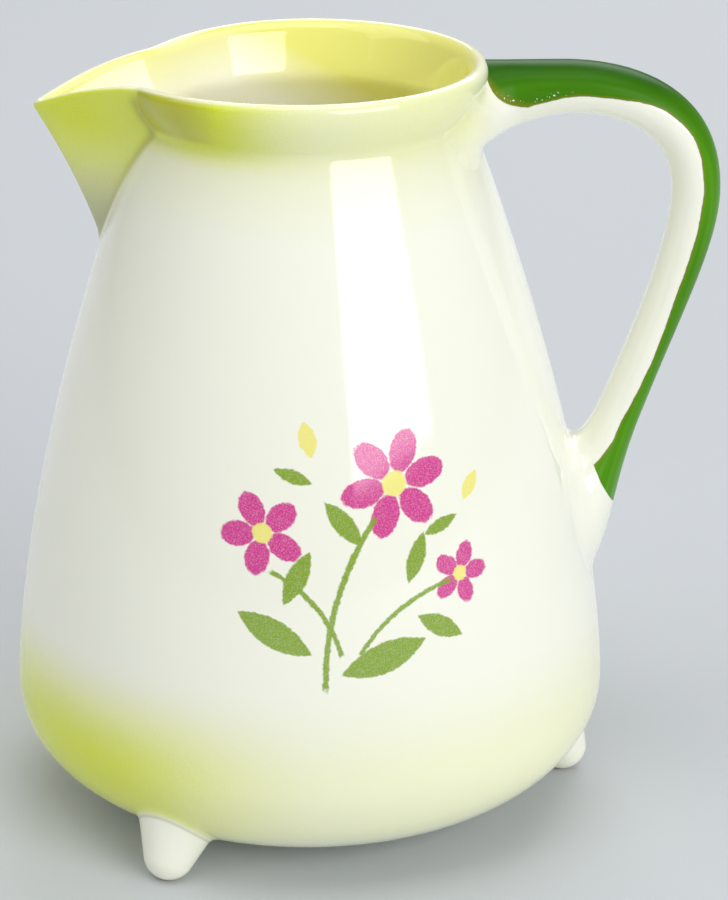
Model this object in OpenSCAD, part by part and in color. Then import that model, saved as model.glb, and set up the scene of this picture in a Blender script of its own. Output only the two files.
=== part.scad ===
// Three-footed earthenware jug: a slip-cast body with a rolled collar, a beaked pouring
// spout open to the inside, a swept handle with flared ends, and three nub feet.
// The spout points along -X and the handle along +X. Z is up from the table.

/* [Body] */
// Radius of the belly at its widest line
belly_r = 78; // [72:0.5:86]
// Height of the belly's widest line above the table
belly_z = 31.2; // [28:0.2:40]
// Height of the base above the table
base_z = 3.5; // [2:0.5:6]
// Radius of the flat middle of the base
base_flat_r = 40; // [34:1:50]
// Radius of the neck, at the crease under the collar
neck_r = 41.2; // [38:0.2:45]
// Height of the crease under the collar
neck_z = 184.3; // [170:0.1:200]
// Height of the collar, from the crease to the middle of the rim's round
collar_h = 11.1; // [9:0.1:14]
// Radius at the middle of the rim
rim_r = 43.4; // [41:0.1:47]
// Thickness of the rim, which is fully rounded
rim_t = 5.2; // [4:0.1:6.5]
// Thickness of the cast wall
wall = 4.5; // [3.5:0.1:5.5]
// Thickness of the base
base_t = 6; // [4:0.1:8]
// How late the side draws in towards the neck, where 1 is a straight cone
side_power = 1.55; // [1.3:0.05:1.9]
// Softness of the crease under the collar
crease_soft = 3; // [2:0.5:5]

/* [Spout] */
// Distance of the spout's tip from the jug's axis
spout_reach = 68; // [62:0.5:76]
// Drop of the lip below the rim at the spout's tip
spout_tip_drop = 10.7; // [8:0.1:15]
// Drop of the lip below the rim where the spout leaves the collar
spout_root_drop = 1.8; // [1:0.1:4]
// Rise of the lip's arc above a straight line from collar to tip
spout_lip_rise = 1; // [0.6:0.1:2]
// Depth of the spout, from the rim down to the foot of its keel
spout_depth = 45.5; // [38:0.5:55]
// Angle between the spout's sides, measured square to the keel
spout_angle = 60; // [52:1:68]
// Outward swell of each side of the spout
spout_swell = 0.8; // [0.4:0.1:1.5]
// Radius of the round along the keel
keel_r = 2.5; // [2:0.1:3.5]
// Radius of the round along the bottom of the pouring channel
channel_r = 1.4; // [1:0.1:2]
// Thickness of the spout's wall
spout_wall = 3; // [2.4:0.1:3.6]

/* [Handle] */
// Distance of the handle's outermost face from the jug's axis
handle_reach = 105.6; // [100:0.2:115]
// Drop of the outermost point below the rim
handle_out_drop = 34.5; // [28:0.5:42]
// Drop of the handle's top face below the rim
handle_top_drop = 0.5; // [0.3:0.1:3]
// Distance from the jug's axis to where the top face starts to turn down
handle_top_x = 64.5; // [60:0.1:70]
// Width of the grip
grip_w = 16; // [13:0.5:20]
// Thickness of the grip along the top
grip_t = 13.4; // [11:0.1:15]
// Thickness of the grip at its outermost point
grip_out_t = 12.5; // [10:0.1:14]
// Thickness of the grip at its lower bend
waist_t = 11.6; // [10:0.1:13]
// Width of the upper root, where it spreads into the collar
root_w = 38; // [32:0.5:46]
// Depth of the upper root below the rim
root_depth = 32.7; // [28:0.1:40]
// Height at which the handle meets the body's lean
waist_z = 100; // [92:0.5:110]
// Distance of the handle's outer face from the body at that height
waist_gap = 18.6; // [16:0.2:24]
// Height of the bottom of the finger gap
crotch_z = 96.8; // [88:0.1:104]
// Height of the buried end of the tail that runs down the body
tail_z = 51.4; // [44:0.1:60]
// Width of the tail
tail_w = 36; // [24:0.5:40]

/* [Feet] */
// Distance of the feet's standing circle inside the belly
foot_inset = 8.1; // [6:0.1:12]
// Distance of that circle's middle from the jug's axis, towards the spout
foot_shift = 1.4; // [0:0.1:3]
// Outward lean of each foot
foot_lean = 30; // [24:1:34]
// Radius of the round at the tip of a foot
foot_tip_r = 6; // [5:0.1:7]
// Radius of the ground flat at the tip
foot_flat_r = 2; // [1.5:0.1:2.5]
// Length of a foot along its middle, with the part set into the body
foot_l = 18; // [16:0.5:20]
// Slope of a foot's side from its middle line
foot_taper = 21; // [14:1:22]

/* [Hidden] */
$fn = 96;
cream = "#f0f0e4";
leaf_green = "#4c8a1c";
// One overrun serves every cut
overrun = 2;
// Steps along each curve of the body's profile, and of the handle
curve_steps = 20;
collar_steps = 18;
lip_steps = 10;
keel_steps = 8;
side_steps = 6;
path_steps = 12;
ring_sides = 20;

rim_mid_z = neck_z + collar_h;
crease_z = neck_z - 2 * crease_soft;
rim_z = rim_mid_z + rim_t / 2;
inner_base_z = base_z + base_t;
// The origin lies under the middle of the jug's overall length
axis_x = (max(belly_r, spout_reach) - handle_reach) / 2;

function mix(a, b, s) = a + (b - a) * s;
function soft_max(a, b, soft) =
    let (near = max(soft - abs(a - b), 0) / soft)
    max(a, b) + near * near * soft / 4;
function side_r(z) = belly_r - (belly_r - neck_r) * pow((z - belly_z) / (neck_z - belly_z), side_power);
// The collar springs out of the neck and turns upright at the rim
function collar_r(z, from_r, to_r) =
    let (s = (z - neck_z) / collar_h)
    from_r + (to_r - from_r) * (s < 0 ? s * PI / 2 : sin(90 * s));

// Points of the body's profile, from the table up
function round_pts(flat_r, wide_r, low_z) = [
    for (i = [0 : curve_steps])
        let (a = 90 * i / curve_steps)
        [flat_r + (wide_r - flat_r) * sin(a), belly_z - (belly_z - low_z) * cos(a)]
];
function wall_pts(inset, lip_r) = [
    for (z = concat(
        [for (i = [1 : curve_steps]) mix(belly_z, crease_z, i / curve_steps)],
        [for (i = [1 : collar_steps]) mix(crease_z, rim_mid_z, i / collar_steps)]
    ))
        [soft_max(side_r(z) - inset, collar_r(z, neck_r - inset, lip_r), crease_soft), z]
];
function rim_pts(last) = [
    for (i = [1 : lip_steps])
        let (a = last * i / lip_steps)
        [rim_r + rim_t / 2 * cos(a), rim_mid_z + rim_t / 2 * sin(a)]
];
function reversed(pts) = [for (i = [len(pts) - 1 : -1 : 0]) pts[i]];

outer_pts = concat(
    [[0, base_z]], round_pts(base_flat_r, belly_r, base_z), wall_pts(0, rim_r + rim_t / 2)
);
inner_pts = concat(
    [[0, inner_base_z]], round_pts(base_flat_r, belly_r - wall, inner_base_z),
    wall_pts(wall, rim_r - rim_t / 2)
);

// The jug as if it were solid, which everything joined to it is cut by
module envelope() {
    rotate_extrude()
        polygon(concat(outer_pts, rim_pts(90), [[0, rim_z]]));
}

// Spout: the keel runs straight from the body to the tip
keel_foot_z = rim_z - spout_depth;
tip_z = rim_z - spout_tip_drop;
keel_foot_x = side_r(keel_foot_z);
keel_tilt = atan((spout_reach - keel_foot_x) / (tip_z - keel_foot_z));
half_angle = spout_angle / 2;
// The lip is an arc over a straight line from the collar to the tip
lip_root_z = rim_z - spout_root_drop;
lip_run = spout_reach - rim_r;
lip_fall = lip_root_z - tip_z;
lip_chord = norm([lip_run, lip_fall]);
lip_arc_r = pow(lip_chord / 2, 2) / (2 * spout_lip_rise) + spout_lip_rise / 2;
lip_slope = atan(lip_fall / lip_run);
lip_centre_depth = lip_arc_r - spout_lip_rise;
lip_centre_x = mix(rim_r, spout_reach, 1 / 2) - lip_centre_depth * sin(lip_slope);
lip_centre_z = mix(lip_root_z, tip_z, 1 / 2) - lip_centre_depth * cos(lip_slope);

// Section square to the keel: two swelling sides that meet in a round
function spout_pts(keel, inset) =
    let (
        apex = keel_r / sin(half_angle) - keel_r - inset / sin(half_angle),
        centre = apex - keel / sin(half_angle),
        run = spout_reach * cos(half_angle),
        turn = 90 - half_angle,
        nose = [
            for (i = [-keel_steps : keel_steps])
                let (a = turn * i / keel_steps)
                [centre + keel * cos(a), keel * sin(a)]
        ],
        side = [
            for (i = [1 : side_steps])
                let (
                    s = i / side_steps,
                    swell = spout_swell * sin(180 * s),
                    start = nose[2 * keel_steps]
                )
                [
                    start[0] - run * s * cos(half_angle) + swell * sin(half_angle),
                    start[1] + run * s * sin(half_angle) + swell * cos(half_angle)
                ]
        ]
    )
    concat(nose, side, [for (p = reversed(side)) [p[0], -p[1]]]);

module spout_prism(keel, inset) {
    translate([-keel_foot_x, 0, keel_foot_z])
        rotate([0, -keel_tilt, 0])
            translate([0, 0, -overrun])
                linear_extrude(spout_depth / cos(keel_tilt) + 2 * overrun)
                    mirror([1, 0])
                        polygon(spout_pts(keel, inset));
}

module channel() spout_prism(channel_r, spout_wall);

module body() {
    color(cream)
        translate([axis_x, 0, 0])
            difference() {
                rotate_extrude()
                    polygon(concat(outer_pts, rim_pts(180), reversed(inner_pts)));
                channel();
            }
}

module spout() {
    color(cream)
        translate([axis_x, 0, 0])
            difference() {
                intersection() {
                    spout_prism(keel_r, 0);
                    translate([-lip_centre_x, 0, lip_centre_z])
                        rotate([90, 0, 0])
                            cylinder(h = 2 * spout_reach, r = lip_arc_r, center = true);
                }
                channel();
                envelope();
            }
}

// Handle: a loft between two rails in the plane Y = 0, along its outer and inner faces.
// Each rail has a point at the root, top, outermost turn, waist and tail, and Bezier legs.
out_z = rim_z - handle_out_drop;
top_z = rim_z - handle_top_drop;
buried = 2 * wall;
outer_rail_pts = [
    [neck_r - buried, top_z],
    [handle_top_x, top_z],
    [handle_reach, out_z],
    [side_r(waist_z) + waist_gap, waist_z],
    [side_r(tail_z) - buried, tail_z]
];
// The two waist points face each other across the grip at this angle
waist_angle = 36;
inner_rail_pts = [
    [neck_r - wall, rim_z - root_depth],
    [handle_top_x + grip_t / 4, top_z - grip_t],
    [handle_reach - grip_out_t, out_z],
    outer_rail_pts[3] + waist_t * [-cos(waist_angle), sin(waist_angle)],
    [side_r(crotch_z) - buried, crotch_z + buried]
];
// Direction of each rail at its points, and how far each leg is pulled along it at its two ends
outer_ways = [0, 0, -90, -109, -138];
inner_ways = [66, 0, -90, -112, -228];
outer_pull_shares = [[0.3, 0.3], [0.4, 0.46], [0.22, 0.5], [0.46, 0.34]];
inner_pull_shares = [[0.46, 0.2], [0.29, 0.5], [0.23, 0.4], [1.09, 0.65]];

function way(a) = [cos(a), sin(a)];
function legs(pts, ways, pulls) = [
    for (k = [0 : len(pts) - 2])
        let (span = norm(pts[k + 1] - pts[k]))
        [
            pts[k],
            pts[k] + span * pulls[k][0] * way(ways[k]),
            pts[k + 1] - span * pulls[k][1] * way(ways[k + 1]),
            pts[k + 1]
        ]
];
function bezier(c, t) =
    pow(1 - t, 3) * c[0] + 3 * pow(1 - t, 2) * t * c[1] + 3 * (1 - t) * t * t * c[2] + pow(t, 3) * c[3];

outer_legs = legs(outer_rail_pts, outer_ways, outer_pull_shares);
inner_legs = legs(inner_rail_pts, inner_ways, inner_pull_shares);

// Half width of the section along each of the four legs. The root opens like a trumpet
// between two places on its leg, and the tail widens all the way down.
root_shares = [0.1, 0.6];
function ease(s) = (1 - cos(180 * max(0, min(1, s)))) / 2;
function half_w(k, t) =
    k == 0 ? mix(root_w, grip_w, ease((t - root_shares[0]) / (root_shares[1] - root_shares[0]))) / 2 :
    k < 3 ? grip_w / 2 :
    mix(grip_w, tail_w, sin(90 * t)) / 2;

function ring(k, t) =
    let (
        outer = bezier(outer_legs[k], t),
        inner = bezier(inner_legs[k], t),
        mid = (outer + inner) / 2,
        half = (outer - inner) / 2
    )
    [
        for (j = [0 : ring_sides - 1])
            let (
                a = 360 * j / ring_sides,
                p = mid + half * cos(a)
            )
            [p[0], half_w(k, t) * sin(a), p[1]]
    ];

rings = concat(
    [ring(0, 0)],
    [for (k = [0 : len(outer_legs) - 1]) for (i = [1 : path_steps]) ring(k, i / path_steps)]
);

// Skin over rings of equal count, closed at both ends
module skin(rings) {
    n = len(rings[0]);
    last = (len(rings) - 1) * n;
    points = [for (r = rings) each r];
    sides = [
        for (i = [0 : len(rings) - 2])
            for (j = [0 : n - 1])
                let (a = i * n + j, b = i * n + (j + 1) % n)
                each [[a, b, b + n], [a, b + n, a + n]]
    ];
    start = [[for (j = [n - 1 : -1 : 0]) j]];
    end = [[for (j = [0 : n - 1]) last + j]];
    polyhedron(points, concat(sides, start, end));
}

module handle() {
    color(leaf_green)
        translate([axis_x, 0, 0])
            difference() {
                skin(rings);
                envelope();
            }
}

// Foot: a blunt cone that leans outwards, ground flat where it stands
foot_circle_r = belly_r - foot_inset;
foot_mid_z = sqrt(pow(foot_tip_r, 2) - pow(foot_flat_r, 2));
foot_turn = 90 - foot_taper;
foot_root_r = foot_tip_r * cos(foot_taper) + (foot_l + foot_tip_r * sin(foot_taper)) * tan(foot_taper);
foot_profile = concat(
    [
        for (i = [0 : keel_steps])
            let (a = foot_turn * i / keel_steps)
            [foot_tip_r * sin(a), -foot_tip_r * cos(a)]
    ],
    [[foot_root_r, foot_l], [0, foot_l]]
);

module foot(angle) {
    color(cream)
        translate([axis_x, 0, 0])
            difference() {
                translate([-foot_shift, 0, 0])
                    rotate([0, 0, angle])
                        translate([foot_circle_r, 0, foot_mid_z])
                            rotate([0, -foot_lean, 0])
                                rotate_extrude()
                                    polygon(foot_profile);
                envelope();
                translate([0, 0, -foot_l])
                    cylinder(h = foot_l, r = 2 * belly_r);
            }
}

module foot_rear() foot(0);
module foot_left() foot(120);
module foot_right() foot(240);

body();
spout();
handle();
foot_rear();
foot_left();
foot_right();
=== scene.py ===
import math
from functools import partial

import bmesh
import bpy
import numpy as np
from mathutils import Matrix, Vector


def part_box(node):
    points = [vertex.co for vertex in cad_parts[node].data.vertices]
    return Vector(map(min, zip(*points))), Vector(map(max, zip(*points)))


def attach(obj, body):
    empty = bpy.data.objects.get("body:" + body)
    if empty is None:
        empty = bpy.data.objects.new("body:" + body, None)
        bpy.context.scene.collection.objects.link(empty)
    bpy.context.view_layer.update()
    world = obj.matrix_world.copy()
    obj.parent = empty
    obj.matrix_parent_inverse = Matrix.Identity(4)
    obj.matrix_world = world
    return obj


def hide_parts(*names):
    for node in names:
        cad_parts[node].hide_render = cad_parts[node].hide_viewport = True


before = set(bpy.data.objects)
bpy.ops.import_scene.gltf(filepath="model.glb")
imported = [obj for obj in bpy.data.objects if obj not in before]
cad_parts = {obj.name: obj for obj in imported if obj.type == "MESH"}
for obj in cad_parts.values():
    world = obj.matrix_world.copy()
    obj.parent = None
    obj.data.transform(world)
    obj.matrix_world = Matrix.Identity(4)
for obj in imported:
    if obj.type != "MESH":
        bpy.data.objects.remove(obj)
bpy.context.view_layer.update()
scene = bpy.context.scene
scene.view_settings.view_transform = "Standard"
scene.cycles.max_bounces = 24
scene.cycles.diffuse_bounces = 16  # the deep inside is lit by light that bounces down it

mm = 0.001  # sizes in the dictionaries below are millimetres, measured from the jug's own axis
tiny = 1e-6  # keeps a division off zero
weldGap = 1e-6  # points closer than this, in metres, become one
insideCad = 0.01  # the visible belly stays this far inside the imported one
bodyLow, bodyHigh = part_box("body")
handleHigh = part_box("handle")[1]
axisX = (bodyLow.x + bodyHigh.x) / 2 / mm
bellyR = (bodyHigh.y - bodyLow.y) / 2 / mm - insideCad
baseZ = bodyLow.z / mm
rimZ = bodyHigh.z / mm
print("frame: axis", round(axisX, 2), "belly", round(bellyR, 2), "rim", round(rimZ, 2))

# Kinds of node and settings that come up often
mathNode, vectorNode, splitNode = "ShaderNodeMath", "ShaderNodeVectorMath", "ShaderNodeSeparateXYZ"
mixNode, rangeNode, noiseNode = "ShaderNodeMix", "ShaderNodeMapRange", "ShaderNodeTexNoise"
smooth = dict(interpolation_type="SMOOTHSTEP")
inColour = dict(out=2, data_type="RGBA")


def linearColour(hexText):
    parts = [int(hexText[i:i + 2], 16) / 255 for i in (1, 3, 5)]
    linear = [c / 12.92 if c <= 0.04045 else ((c + 0.055) / 1.055) ** 2.4 for c in parts]
    return (*linear, 1.0)


# Adds one node: settings by name, then inputs in order or by key, each a value, a hex colour or a link.
def addNode(tree, kind, inputs=(), out=0, **settings):
    node = tree.nodes.new(kind)
    for name, value in settings.items():
        setattr(node, name, value)
    for key, value in inputs.items() if isinstance(inputs, dict) else enumerate(inputs):
        if isinstance(value, bpy.types.NodeSocket):
            tree.links.new(value, node.inputs[key])
        else:
            isHex = isinstance(value, str) and value.startswith("#")
            node.inputs[key].default_value = linearColour(value) if isHex else value
    return node.outputs[out] if node.outputs else node


def smoothMax(a, b, soft):
    near = np.maximum(soft - np.abs(a - b), 0) / soft
    return np.maximum(a, b) + near * near * soft / 4


def smoothStep(low, high, x):
    t = np.clip((x - low) / (high - low), 0, 1)
    return t * t * (3 - 2 * t)


def mix(a, b, share):
    return a + (b - a) * share


# Camera, at the photograph's angle
photo = dict(
    heightPx=900, focalPx=3200, sensor=36,
    away=784.3, height=396.2,  # in front of the jug's axis, and above the table
    pitch=21.144, yaw=1.063, roll=0.0885,
)


def makeCamera():
    pitch, yaw, roll = (math.radians(photo[k]) for k in ("pitch", "yaw", "roll"))
    forward = Vector((math.sin(yaw) * math.cos(pitch), math.cos(yaw) * math.cos(pitch), -math.sin(pitch)))
    right = Vector((math.cos(yaw), -math.sin(yaw), 0))
    down = forward.cross(right)
    rolledRight = math.cos(roll) * right + math.sin(roll) * down
    rolledDown = -math.sin(roll) * right + math.cos(roll) * down
    data = bpy.data.cameras.new("photoCamera")
    data.sensor_width = photo["sensor"]
    data.lens = photo["sensor"] * photo["focalPx"] / photo["heightPx"]
    camera = bpy.data.objects.new("photoCamera", data)
    scene.collection.objects.link(camera)
    turn = Matrix((rolledRight, -rolledDown, -forward)).transposed().to_4x4()
    place = Vector((axisX, -photo["away"], photo["height"])) * mm
    camera.matrix_world = Matrix.Translation(place) @ turn
    scene.camera = camera


makeCamera()
print("camera placed")

# Lights and floor, sizes and distances in metres, azimuth in degrees to the right of the camera
studio = dict(
    worldColour="#f3f3f1", worldStrength=0.34,
    floorColour="#d7dadd", floorShown="#c4c8cd", floorSize=9.0, floorRoughness=0.6,
)
lamps = [
    dict(name="window", azimuth=38.5, elevation=22.5, distance=3.5, width=2.55, height=2.0, watts=71),
    dict(name="skyPanel", azimuth=15, elevation=78, distance=1.7, width=1.2, height=1.0, watts=8.5),
    dict(name="leftFill", azimuth=-78, elevation=52, distance=2.2, width=2.2, height=2.0, watts=14.5),
    dict(name="backPanel", azimuth=165, elevation=40, distance=1.8, width=1.4, height=1.0, watts=13),
]


def makeLamp(lamp, aim):
    data = bpy.data.lights.new(lamp["name"], "AREA")
    data.shape = "RECTANGLE"
    data.size, data.size_y, data.energy = lamp["width"], lamp["height"], lamp["watts"]
    light = bpy.data.objects.new(lamp["name"], data)
    azimuth, elevation = math.radians(lamp["azimuth"]), math.radians(lamp["elevation"])
    away = Vector((
        math.sin(azimuth) * math.cos(elevation),
        -math.cos(azimuth) * math.cos(elevation),
        math.sin(elevation),
    ))
    light.location = aim + away * lamp["distance"]
    light.rotation_euler = away.to_track_quat("Z", "Y").to_euler()
    scene.collection.objects.link(light)


def makeStudio():
    world = bpy.data.worlds.new("softStudio")
    scene.world = world
    world.use_nodes = True
    back = world.node_tree.nodes["Background"]
    back.inputs["Color"].default_value = linearColour(studio["worldColour"])
    back.inputs["Strength"].default_value = studio["worldStrength"]
    for lamp in lamps:
        makeLamp(lamp, Vector((axisX * mm, 0, rimZ * mm / 2)))
    half = studio["floorSize"] / 2
    mesh = bpy.data.meshes.new("floor")
    corners = [(-half, -half, 0), (half, -half, 0), (half, half, 0), (-half, half, 0)]
    mesh.from_pydata(corners, [], [(0, 1, 2, 3)])
    floor = bpy.data.objects.new("floor", mesh)
    scene.collection.objects.link(floor)
    material = bpy.data.materials.new("matt card floor")
    material.use_nodes = True
    tree = material.node_tree
    shader = tree.nodes["Principled BSDF"]
    # Seen a shade darker than it lights the jug, so that the pale outline stands out
    seen = addNode(tree, "ShaderNodeLightPath", out="Is Camera Ray")
    card = addNode(tree, mixNode, {0: seen, 6: studio["floorColour"], 7: studio["floorShown"]}, **inColour)
    tree.links.new(card, shader.inputs["Base Color"])
    shader.inputs["Roughness"].default_value = studio["floorRoughness"]
    shader.inputs["Specular IOR Level"].default_value = 0
    mesh.materials.append(material)


makeStudio()
print("studio lit")


# Turns vertex and face lists into an object with smooth faces at the origin.
def makeObject(name, points, faces):
    mesh = bpy.data.meshes.new(name)
    mesh.from_pydata([tuple(p) for p in points], [], faces)
    mesh.shade_smooth()
    piece = bpy.data.objects.new(name, mesh)
    scene.collection.objects.link(piece)
    return piece


def storeFloat(piece, name, values):
    layer = piece.data.attributes.new(name, "FLOAT", "POINT")
    layer.data.foreach_set("value", np.asarray(values, np.float32))


def readFloats(items, name, width=1):
    values = np.zeros(len(items) * width)
    items.foreach_get(name, values)
    return values.reshape(-1, width) if width > 1 else values


# Faces over rings of points, closed at both ends by the two points that come after the rings
def tubeFaces(rows, columns):
    faces = []
    for i in range(rows - 1):
        for j in range(columns):
            k = (j + 1) % columns
            faces.append((i * columns + j, i * columns + k, (i + 1) * columns + k, (i + 1) * columns + j))
    top, first, last = (rows - 1) * columns, rows * columns, rows * columns + 1
    for j in range(columns):
        k = (j + 1) % columns
        faces.append((first, k, j))
        faces.append((top + j, top + k, last))
    return faces


# Body and spout: one wall, cast round the axis, drawn out to a beak on the -X side
jug = dict(
    baseFlat=40, bellyHeight=31.2, sidePower=1.55,
    neckRadius=41.2, neckHeight=184.3, collarRise=11.1, collarOut=4.8, creaseSoft=1.4,
    rimThick=5.2, wall=4.5, baseThick=6,
    rimDip=1.5, dipStart=20, dipSpread=36,  # the rim sinks towards the spout, angles in degrees
    plainColumns=90, spoutColumns=160, spoutFan=36,
    baseRings=(0.3, 0.6, 0.85), floorRings=(0.6, 0.3),  # shares of the flat, under the base and inside
    rows=dict(under=16, side=50, upper=64, lip=13, upperInside=44, sideInside=28, underInside=14),
)
beak = dict(
    keelFoot=52.47, keelFootHeight=153.1, keelLean=0.345, keelCurve=0.0045,
    halfAngle=27.5, noseAngle=1.9, noseCut=4.0, insideNose=1.0, wall=6.6,
    lipFrom=41, lipTop=196.5, lipSlope=0.1, lipCurve=0.007, lipSoft=0.8,
    lipPasses=6,  # the lip's height depends on its reach, and settles in a few passes
    lipRound=1.5, lipBlend=(18, 30), tipRound=2.5, tipBlend=(3, 11),  # degrees from the beak's middle
    creaseSoft=(2.4, 1.0), softFrom=168, softTo=184, creaseOliveWidth=1.2, insideSoft=5, reachesDown=146,
    faceEdge=(-1.6, 0.4),  # the spout's own colour comes in as the beak leads the wall by this much
)
collarRadius = jug["neckRadius"] + jug["collarOut"]
rimEdgeZ = jug["neckHeight"] + jug["collarRise"]
farOff = -999  # a place in mm that no decoration reaches


def sideRadius(z):
    share = np.maximum(z - jug["bellyHeight"], 0) / (jug["neckHeight"] - jug["bellyHeight"])
    return bellyR - (bellyR - jug["neckRadius"]) * share ** jug["sidePower"]


# Quarter ellipse under the belly: from the flat at 0 to the widest place at 90 degrees
def underCurve(a, widest, lowest):
    r = jug["baseFlat"] + (widest - jug["baseFlat"]) * np.sin(a)
    return r, jug["bellyHeight"] - (jug["bellyHeight"] - lowest) * np.cos(a)


# The collar rolls outwards outside, and opens in a straight flare inside
def wallRadius(z, inset):
    high = collarRadius - (jug["rimThick"] if inset else 0)
    share = (z - jug["neckHeight"]) / jug["collarRise"]
    rolled = np.where(share < 0, share * math.pi / 2, np.sin(np.clip(share, 0, 1) * math.pi / 2))
    collar = mix(jug["neckRadius"] - inset, high, share if inset else rolled)
    return smoothMax(sideRadius(z) - inset, collar, jug["creaseSoft"])


def beakRadius(angle, z, inset):
    lowest = -beak["keelLean"] / (2 * beak["keelCurve"])  # where the keel line stops drawing in
    up = np.maximum(z - beak["keelFootHeight"], lowest)
    keel = beak["keelFoot"] + beak["keelLean"] * up + beak["keelCurve"] * up * up
    apex = keel + beak["noseCut"] - inset
    nose = beak["insideNose"] if inset else beak["noseAngle"]
    turned = np.sqrt(angle ** 2 + math.radians(nose) ** 2)
    half = math.radians(beak["halfAngle"])
    return apex * math.sin(half) / np.sin(np.minimum(turned + half, math.pi / 2))


# The crease round the spout is sharp beside the collar and soft below it
def outerRadius(angle, z):
    soft = mix(*beak["creaseSoft"], smoothStep(beak["softFrom"], beak["softTo"], z))
    return smoothMax(wallRadius(z, 0), beakRadius(angle, z, 0), soft)


def innerRadius(angle, z):
    return smoothMax(wallRadius(z, jug["wall"]), beakRadius(angle, z, beak["wall"]), beak["insideSoft"])


# Height of the lip's crest round the rim and along the beak
def lipHeight(angle):
    turned = np.degrees(np.abs(angle))
    past = np.maximum(turned - jug["dipStart"], 0) / jug["dipSpread"]
    rim = rimZ - jug["rimDip"] * np.exp(-past ** 2)
    crest = rim
    for _ in range(beak["lipPasses"]):
        out = outerRadius(angle, crest) * np.cos(angle) - beak["lipFrom"]
        out = np.where(turned < 90, np.maximum(out, -beak["lipFrom"]), -beak["lipFrom"])
        along = beak["lipTop"] - beak["lipSlope"] * out - beak["lipCurve"] * out * np.abs(out)
        crest = -smoothMax(-rim, -along, beak["lipSoft"])
    return crest


# Angles of the columns of points from the spout, closer together on it
def jugColumns():
    fan = math.radians(jug["spoutFan"])
    plain = np.linspace(fan, math.pi, jug["plainColumns"], endpoint=False)
    middle = np.linspace(-fan, fan, jug["spoutColumns"], endpoint=False)
    return np.concatenate([-plain[::-1] - (math.pi - plain[-1]), middle, plain])


# Radii and heights of the rows of points: out under the base, up the outside, over the lip and down inside
def jugRows(angle):
    count, turned = jug["rows"], np.degrees(np.abs(angle))
    onBeak, onTip = (1 - smoothStep(*beak[blend], turned) for blend in ("lipBlend", "tipBlend"))
    lipRise = mix(mix(jug["rimThick"] / 2, beak["lipRound"], onBeak), beak["tipRound"], onTip)
    edge = lipHeight(angle) - lipRise
    bellyZ, start, floorZ = jug["bellyHeight"], beak["reachesDown"], baseZ + jug["baseThick"]
    radii, heights = [], []

    def addRow(r, z):
        radii.append(np.broadcast_to(r, angle.shape))
        heights.append(np.broadcast_to(z, angle.shape))

    for share in jug["baseRings"]:
        addRow(jug["baseFlat"] * share, baseZ)
    for a in np.radians(np.linspace(0, 90, count["under"])):
        addRow(*underCurve(a, bellyR, baseZ))
    bellyRow = len(radii) - 1
    for z in np.linspace(bellyZ, start, count["side"])[1:]:
        addRow(outerRadius(angle, z), z)
    for share in np.linspace(0, 1, count["upper"])[1:]:
        z = mix(start, edge, share)
        addRow(outerRadius(angle, z), z)
    outside, inside = outerRadius(angle, edge), innerRadius(angle, edge)
    middle, half = (outside + inside) / 2, (outside - inside) / 2
    leanOut, leanIn = (wall(angle, edge) - wall(angle, edge - 1) for wall in (outerRadius, innerRadius))
    crestRow = len(radii) + count["lip"] // 2 - 1
    for a in np.radians(np.linspace(0, 180, count["lip"]))[1:-1]:
        lean = mix(leanOut, leanIn, (1 - math.cos(a)) / 2)  # the lip leaves both faces without a corner
        addRow(middle + half * math.cos(a) + lean * lipRise * math.sin(a), edge + lipRise * math.sin(a))
    for share in np.linspace(1, 0, count["upperInside"]):
        z = mix(start, edge, share)
        addRow(innerRadius(angle, z), z)
    for z in np.linspace(start, bellyZ, count["sideInside"])[1:]:
        addRow(innerRadius(angle, z), z)
    for a in np.radians(np.linspace(90, 0, count["underInside"]))[1:]:
        addRow(*underCurve(a, bellyR - jug["wall"], floorZ))
    for share in jug["floorRings"]:
        addRow(jug["baseFlat"] * share, floorZ)
    return np.array(radii), np.array(heights), bellyRow, crestRow


# Decoration map in millimetres: across from the middle of the design, and up from the belly
def mapSprig(piece, angle, r, up):
    rows, columns = r.shape
    middle = math.radians(sprig["angle"])
    across = r * (angle - middle)
    last = r[:, 0] * (2 * math.pi + angle[0] - middle)
    loops = np.zeros(len(piece.data.loops), int)
    piece.data.loops.foreach_get("vertex_index", loops)
    inGrid = np.minimum(loops, rows * columns - 1)
    row, column = np.divmod(inGrid, columns)
    # The last column of four-cornered faces comes back to the first column of points
    closing = np.zeros(len(loops), bool)
    closing[:(rows - 1) * columns * 4].reshape(rows - 1, columns, 4)[:, -1] = True
    u = np.where(closing & (column == 0), last[row], across.ravel()[inGrid])
    v = np.where(loops < rows * columns, up.ravel()[inGrid], farOff)
    layer = piece.data.uv_layers.new(name="sprigMap")
    layer.data.foreach_set("uv", np.stack([u, v], -1).astype(np.float32).ravel())


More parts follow.
